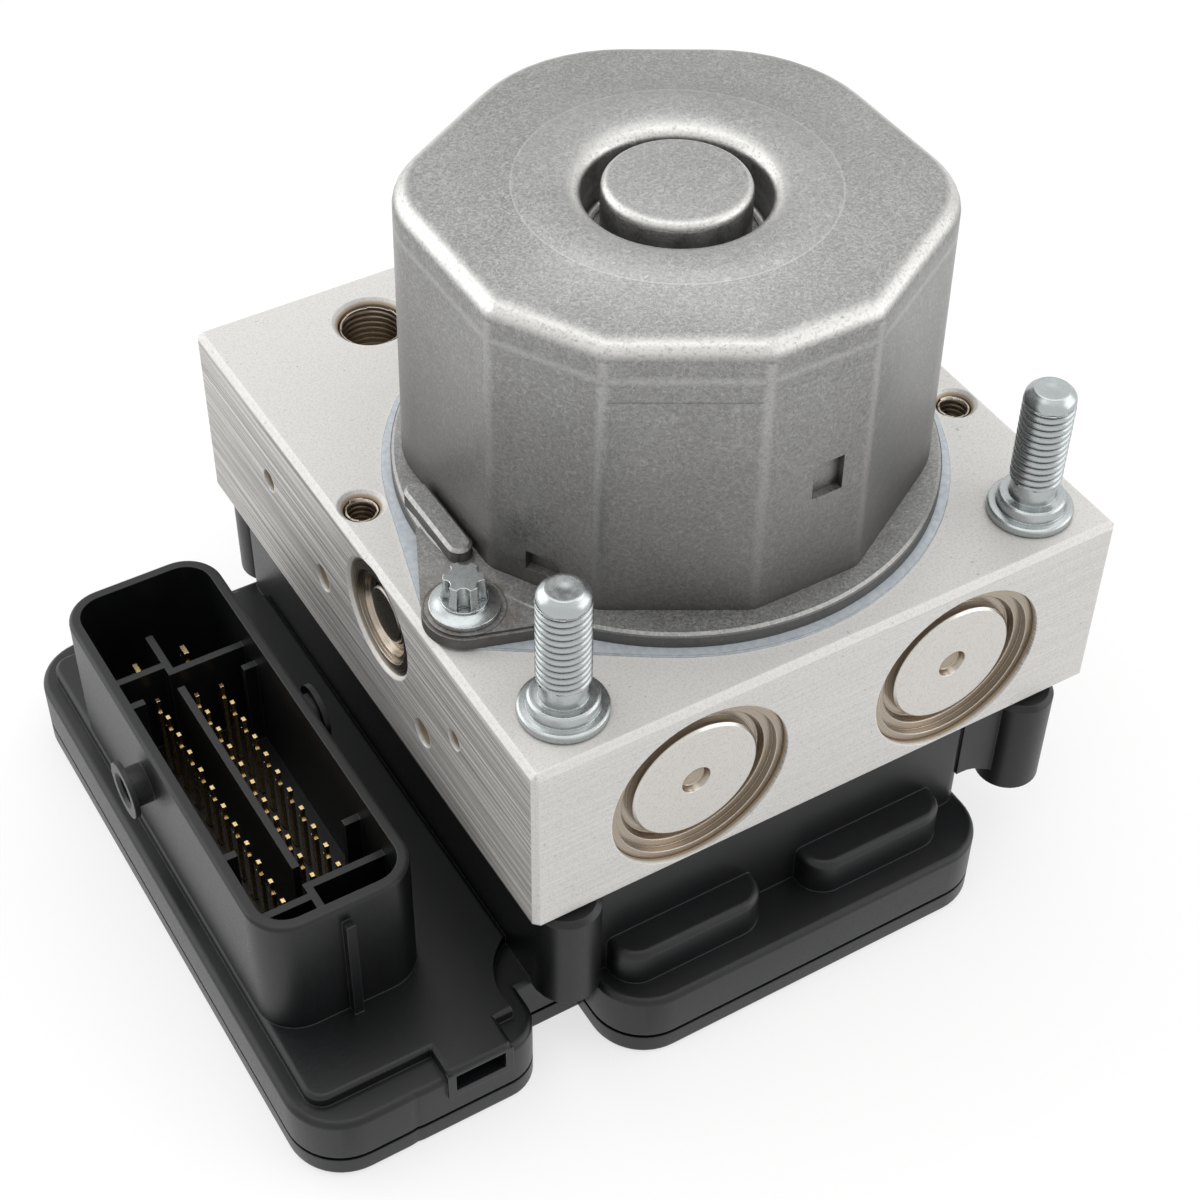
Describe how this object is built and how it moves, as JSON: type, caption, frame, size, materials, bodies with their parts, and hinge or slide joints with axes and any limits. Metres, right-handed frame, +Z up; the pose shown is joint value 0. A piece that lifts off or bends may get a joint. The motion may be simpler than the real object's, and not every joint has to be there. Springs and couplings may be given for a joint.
{
  "type": "abs brake module",
  "caption": "Anti-lock brake module: drilled aluminium hydraulic block, faceted pump motor on top, black control unit below with an open multi-pin connector shroud.",
  "frame": {"origin": "on the motor axis, at the underside of the control unit's lid", "axes": "+Z up along the motor axis, +X to the right along the front face with the connector on the -X side, +Y from the accumulator caps to the wheel ports"},
  "size_m": [0.1397, 0.1215, 0.115],
  "materials": {
    "block_aluminium": "brushed",
    "motor_steel": "satin grey plating on drawn steel",
    "zinc_plated_steel": "zinc plated",
    "ground_steel": "ground",
    "anodised_cap": "champagne anodised, turned",
    "black_plastic": "moulded, fine grain",
    "brown_plastic": "moulded",
    "gasket_rubber": "matt",
    "seal_rubber": "matt",
    "spring_steel": "drawn wire",
    "ferrite": "sintered",
    "core_steel": "stamped sheets",
    "copper": "enamelled wire",
    "carbon": "pressed carbon",
    "circuit_board": "solder mask",
    "chip_plastic": "moulded",
    "gold_plate": "gold plated"
  },
  "bodies": {
    "module": {"valve_block": "block_aluminium", "channel_balls": "ground_steel", "motor_can": "motor_steel", "motor_gasket": "gasket_rubber", "motor_bolts": "zinc_plated_steel", "magnets": "ferrite", "upper_bearing": "ground_steel", "lower_bearing": "ground_steel", "brush_plate": "brown_plastic", "brushes": "carbon", "brush_springs": "spring_steel", "motor_lead": "black_plastic", "pump_plug_left": "anodised_cap", "pump_plug_right": "anodised_cap", "pump_sleeve_left": "ground_steel", "pump_sleeve_right": "ground_steel", "pump_spring_left": "spring_steel", "pump_spring_right": "spring_steel", "accumulator_cap_left": "anodised_cap", "accumulator_cap_right": "anodised_cap", "accumulator_spring_left": "spring_steel", "accumulator_spring_right": "spring_steel", "stud_left": "zinc_plated_steel", "stud_right": "zinc_plated_steel", "control_housing": "black_plastic", "control_lid": "black_plastic", "block_seal": "seal_rubber", "housing_screws": "zinc_plated_steel", "circuit_board": "circuit_board", "board_parts": "chip_plastic", "signal_pins": "gold_plate", "power_pins": "gold_plate", "inlet_valve_bodies": "ground_steel", "outlet_valve_bodies": "ground_steel", "coil_cases": "zinc_plated_steel", "coil_windings": "copper", "valve_springs": "spring_steel"},
    "rotor": {"rotor_shaft": "ground_steel", "armature_core": "core_steel", "armature_windings": "copper", "commutator": "copper"},
    "needle_ring": {"eccentric_bearing": "ground_steel"},
    "pump_piston_left": {"pump_piston_left": "ground_steel"},
    "pump_piston_right": {"pump_piston_right": "ground_steel"},
    "accumulator_piston_left": {"accumulator_piston_left": "core_steel"},
    "accumulator_piston_right": {"accumulator_piston_right": "core_steel"},
    "valve_armature_1": {"valve_armature_1": "core_steel"},
    "valve_armature_2": {"valve_armature_2": "core_steel"},
    "valve_armature_3": {"valve_armature_3": "core_steel"},
    "valve_armature_4": {"valve_armature_4": "core_steel"},
    "valve_armature_5": {"valve_armature_5": "core_steel"},
    "valve_armature_6": {"valve_armature_6": "core_steel"},
    "valve_armature_7": {"valve_armature_7": "core_steel"},
    "valve_armature_8": {"valve_armature_8": "core_steel"}
  },
  "joints": [
    {"name": "rotor_spin", "type": "hinge", "parent": "module", "child": "rotor", "pos_m": [0, 0, 0.075], "axis": [0, 0, 1], "continuous": true},
    {"name": "ring_roll", "type": "hinge", "parent": "rotor", "child": "needle_ring", "pos_m": [0.0009, 0, 0.0525], "axis": [0, 0, 1], "continuous": true},
    {"name": "pump_stroke_left", "type": "slide", "parent": "module", "child": "pump_piston_left", "axis": [1, 0, 0], "range_m": [0, 0.0018], "deforming": ["pump_spring_left"]},
    {"name": "pump_stroke_right", "type": "slide", "parent": "module", "child": "pump_piston_right", "axis": [-1, 0, 0], "range_m": [0, 0.0018], "deforming": ["pump_spring_right"]},
    {"name": "accumulator_stroke_left", "type": "slide", "parent": "module", "child": "accumulator_piston_left", "axis": [0, -1, 0], "range_m": [0, 0.006], "deforming": ["accumulator_spring_left"]},
    {"name": "accumulator_stroke_right", "type": "slide", "parent": "module", "child": "accumulator_piston_right", "axis": [0, -1, 0], "range_m": [0, 0.006], "deforming": ["accumulator_spring_right"]},
    {"name": "valve_stroke_1", "type": "slide", "parent": "module", "child": "valve_armature_1", "axis": [0, 0, 1], "range_m": [0, 0.0003]},
    {"name": "valve_stroke_2", "type": "slide", "parent": "module", "child": "valve_armature_2", "axis": [0, 0, 1], "range_m": [0, 0.0003]},
    {"name": "valve_stroke_3", "type": "slide", "parent": "module", "child": "valve_armature_3", "axis": [0, 0, 1], "range_m": [0, 0.0003]},
    {"name": "valve_stroke_4", "type": "slide", "parent": "module", "child": "valve_armature_4", "axis": [0, 0, 1], "range_m": [0, 0.0003]},
    {"name": "valve_stroke_5", "type": "slide", "parent": "module", "child": "valve_armature_5", "axis": [0, 0, 1], "range_m": [0, 0.0003]},
    {"name": "valve_stroke_6", "type": "slide", "parent": "module", "child": "valve_armature_6", "axis": [0, 0, 1], "range_m": [0, 0.0003]},
    {"name": "valve_stroke_7", "type": "slide", "parent": "module", "child": "valve_armature_7", "axis": [0, 0, 1], "range_m": [0, 0.0003]},
    {"name": "valve_stroke_8", "type": "slide", "parent": "module", "child": "valve_armature_8", "axis": [0, 0, 1], "range_m": [0, 0.0003]}
  ]
}
